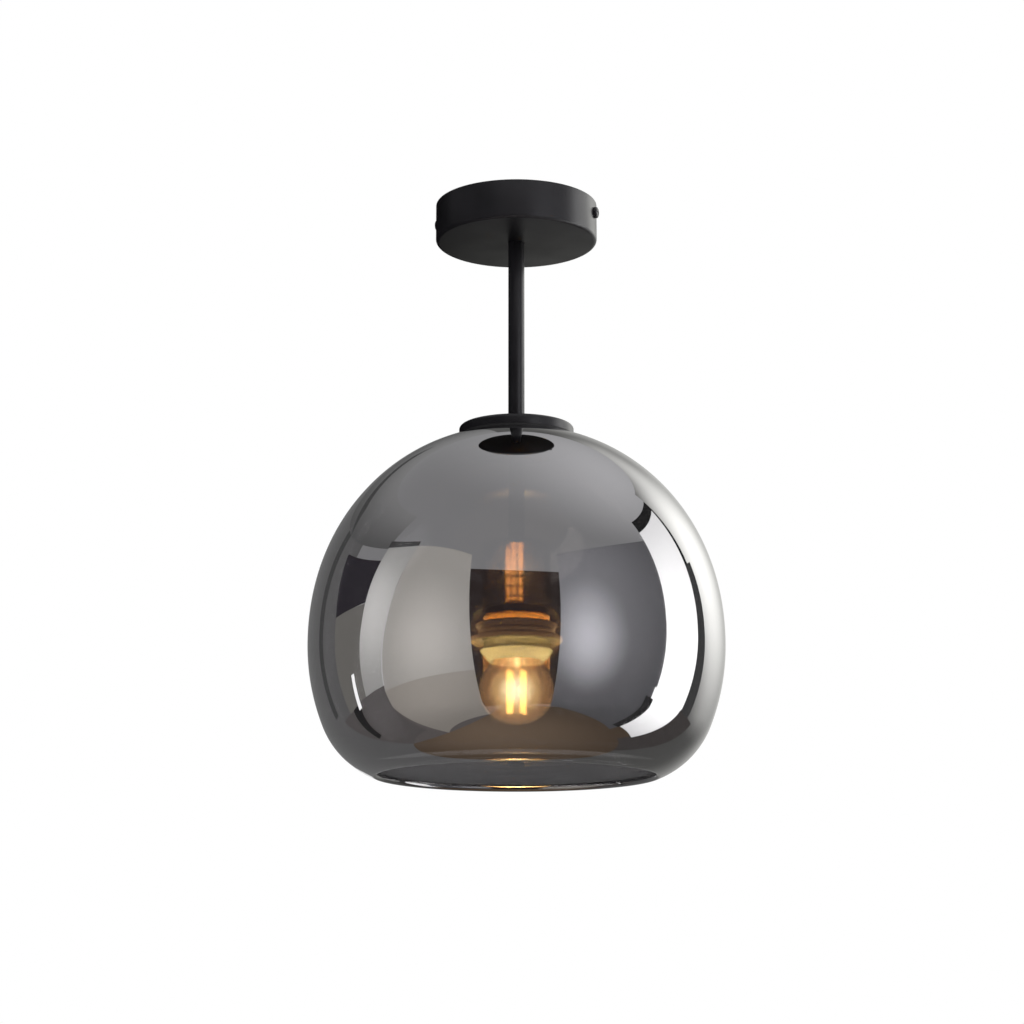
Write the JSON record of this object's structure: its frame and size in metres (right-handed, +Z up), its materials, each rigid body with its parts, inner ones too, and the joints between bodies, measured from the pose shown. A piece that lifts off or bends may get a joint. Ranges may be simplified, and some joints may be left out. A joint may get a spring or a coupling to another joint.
{
  "type": "led ceiling light",
  "caption": "Black semi-flush ceiling light: round canopy, thin stem, half-mirrored smoked glass shade open below, and a lit filament bulb in a black lampholder.",
  "frame": {"origin": "middle of the ceiling plane, centre of the two ceiling slots in the crossbar's top face", "axes": "+Z up into the ceiling, +X through the right side screw; the light hangs down along -Z"},
  "size_m": [0.25, 0.25, 0.356],
  "materials": {
    "black_metal": "satin black powder coat",
    "black_nickel": "black nickel plated",
    "black_plastic": "black moulded plastic",
    "gasket_rubber": "matte black rubber",
    "zinc_steel": "zinc plated",
    "brass": "polished brass",
    "smoked_glass": "smoked, half mirrored",
    "porcelain": null,
    "block_white": "natural white nylon",
    "copper_leaf": "bright copper alloy",
    "bulb_glass": "clear glass, tinted amber",
    "cap_nickel": "nickel plated",
    "filament_yellow": "lit LED filament, warm white",
    "board_green": "circuit board",
    "wire_brown": "insulated wire",
    "wire_blue": "insulated wire",
    "wire_green": "insulated wire"
  },
  "bodies": {
    "light": {"mounting_bracket": "zinc_steel", "canopy": "black_metal", "terminal_block": "block_white", "terminal_barrels": "brass", "terminal_screws": "zinc_steel", "block_screws": "zinc_steel", "earth_screw": "brass", "earth_ring": "zinc_steel", "canopy_bush": "zinc_steel", "stem_washer": "zinc_steel", "stem_locknut": "zinc_steel", "stem_tube": "black_metal", "shade_cap": "black_metal", "cap_bush": "zinc_steel", "cap_gasket": "gasket_rubber", "glass_shade": "smoked_glass", "plate_gasket": "gasket_rubber", "retaining_plate": "black_metal", "plate_nut": "brass", "holder_cup": "black_nickel", "holder_washer": "zinc_steel", "holder_locknut": "zinc_steel", "holder_body": "black_plastic", "brass_collar": "brass", "upper_shade_ring": "black_plastic", "lower_shade_ring": "black_plastic", "socket_insert": "porcelain", "screw_shell": "brass", "centre_contact": "copper_leaf", "socket_terminals": "brass", "socket_screws": "zinc_steel", "live_wire": "wire_brown", "neutral_wire": "wire_blue", "earth_wire": "wire_green"},
    "bulb": {"bulb_globe": "bulb_glass", "bulb_cap": "cap_nickel", "bulb_insulator": "black_plastic", "bulb_contact": "cap_nickel", "bulb_stem": "bulb_glass", "filament_leads": "cap_nickel", "led_filaments": "filament_yellow", "driver_board": "board_green"},
    "right_screw": {"canopy_screw_right": "black_metal"},
    "left_screw": {"canopy_screw_left": "black_metal"}
  },
  "joints": [
    {"name": "bulb_turn", "type": "hinge", "parent": "light", "child": "bulb", "pos_m": [0, 0, -0.27], "axis": [0, 0, -1], "range_deg": [0, 1800]},
    {"name": "right_screw_out", "type": "slide", "parent": "light", "child": "right_screw", "axis": [1, 0, 0], "range_m": [0, 0.0055]},
    {"name": "left_screw_out", "type": "slide", "parent": "light", "child": "left_screw", "axis": [-1, 0, 0], "range_m": [0, 0.0055]}
  ]
}
